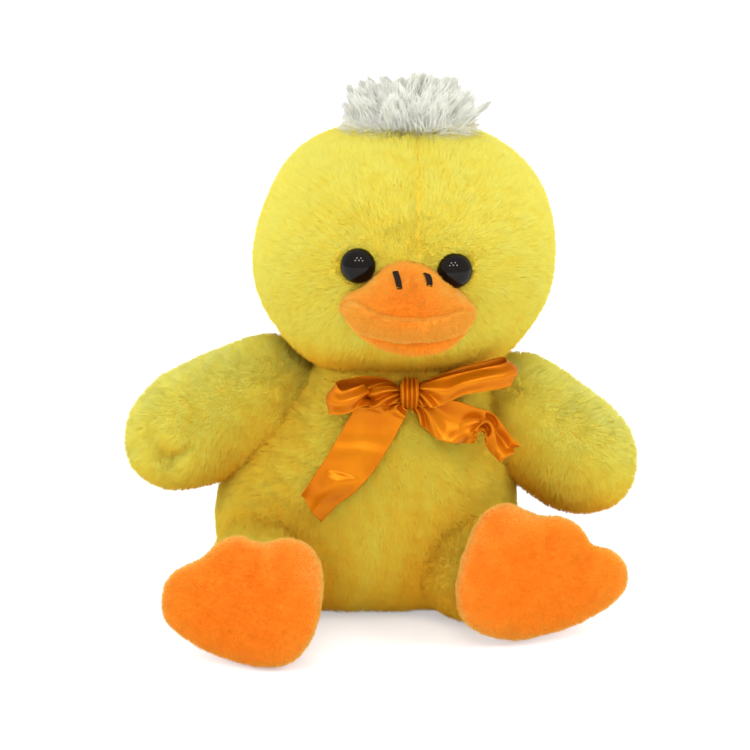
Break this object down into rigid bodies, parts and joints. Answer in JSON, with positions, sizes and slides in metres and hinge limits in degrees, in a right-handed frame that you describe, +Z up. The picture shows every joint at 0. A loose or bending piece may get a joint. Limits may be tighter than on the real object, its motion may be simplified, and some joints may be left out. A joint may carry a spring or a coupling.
{
  "type": "plush duck",
  "caption": "Sitting plush duck with stuffed head, wings, legs and three-toed feet, a padded bill, a hair tuft and a ribbon bow at the neck.",
  "frame": {"origin": "middle of the flat seat under the torso, where the duck rests on a surface", "axes": "+Z up, -Y the way the duck faces, +X to the duck's own left"},
  "size_m": [0.1779, 0.1326, 0.1847],
  "materials": {
    "plush": "matte",
    "velboa": "matte",
    "satin": "satin",
    "filling": "matte",
    "canvas": "matte",
    "eye_gloss": "gloss",
    "washer_plastic": "matte",
    "pile": "matte",
    "thread": "matte"
  },
  "bodies": {
    "torso": {"body_cover": "plush", "body_stuffing": "filling", "pellet_bag": "canvas", "tail": "plush", "ribbon_neck_band": "satin", "ribbon_knot": "satin", "ribbon_left_loop": "satin", "ribbon_right_loop": "satin", "ribbon_right_tail": "satin", "ribbon_left_tail": "satin"},
    "neck": {"neck_stuffing": "filling"},
    "head": {"head_cover": "plush", "head_stuffing": "filling", "right_eye": "eye_gloss", "right_eye_washer": "washer_plastic", "left_eye": "eye_gloss", "left_eye_washer": "washer_plastic", "upper_beak_cover": "velboa", "upper_beak_stuffing": "filling", "lower_beak_cover": "velboa", "lower_beak_stuffing": "filling", "right_nostril_stitch": "thread", "left_nostril_stitch": "thread", "hair_tuft": "pile"},
    "right_wing": {"right_wing_cover": "plush", "right_wing_stuffing": "filling"},
    "left_wing": {"left_wing_cover": "plush", "left_wing_stuffing": "filling"},
    "right_leg": {"right_leg_cover": "plush", "right_leg_stuffing": "filling", "right_foot_cover": "velboa", "right_foot_stuffing": "filling"},
    "left_leg": {"left_leg_cover": "plush", "left_leg_stuffing": "filling", "left_foot_cover": "velboa", "left_foot_stuffing": "filling"}
  },
  "joints": [
    {"name": "head_turn", "type": "hinge", "parent": "torso", "child": "neck", "pos_m": [0.012, -0.004, 0.124], "axis": [0, 0, 1], "range_deg": [-20, 20], "stiffness_Nm_per_rad": 0.6},
    {"name": "head_nod", "type": "hinge", "parent": "neck", "child": "head", "pos_m": [0.012, -0.004, 0.124], "axis": [1, 0, 0], "range_deg": [-14, 6], "stiffness_Nm_per_rad": 0.6},
    {"name": "right_wing_flap", "type": "hinge", "parent": "torso", "child": "right_wing", "pos_m": [-0.0365, -0.005, 0.0705], "axis": [0, 1, 0], "range_deg": [-10, 20], "stiffness_Nm_per_rad": 0.3},
    {"name": "left_wing_flap", "type": "hinge", "parent": "torso", "child": "left_wing", "pos_m": [0.053, -0.005, 0.0705], "axis": [0, -1, 0], "range_deg": [-2, 20], "stiffness_Nm_per_rad": 0.3},
    {"name": "right_leg_lift", "type": "hinge", "parent": "torso", "child": "right_leg", "pos_m": [-0.0355, -0.029, 0.0188], "axis": [-0.9931, 0.1176, 0], "range_deg": [-8, 25], "stiffness_Nm_per_rad": 0.4},
    {"name": "left_leg_lift", "type": "hinge", "parent": "torso", "child": "left_leg", "pos_m": [0.036, -0.03, 0.0188], "axis": [-0.597, -0.8022, 0], "range_deg": [-8, 25], "stiffness_Nm_per_rad": 0.4}
  ]
}
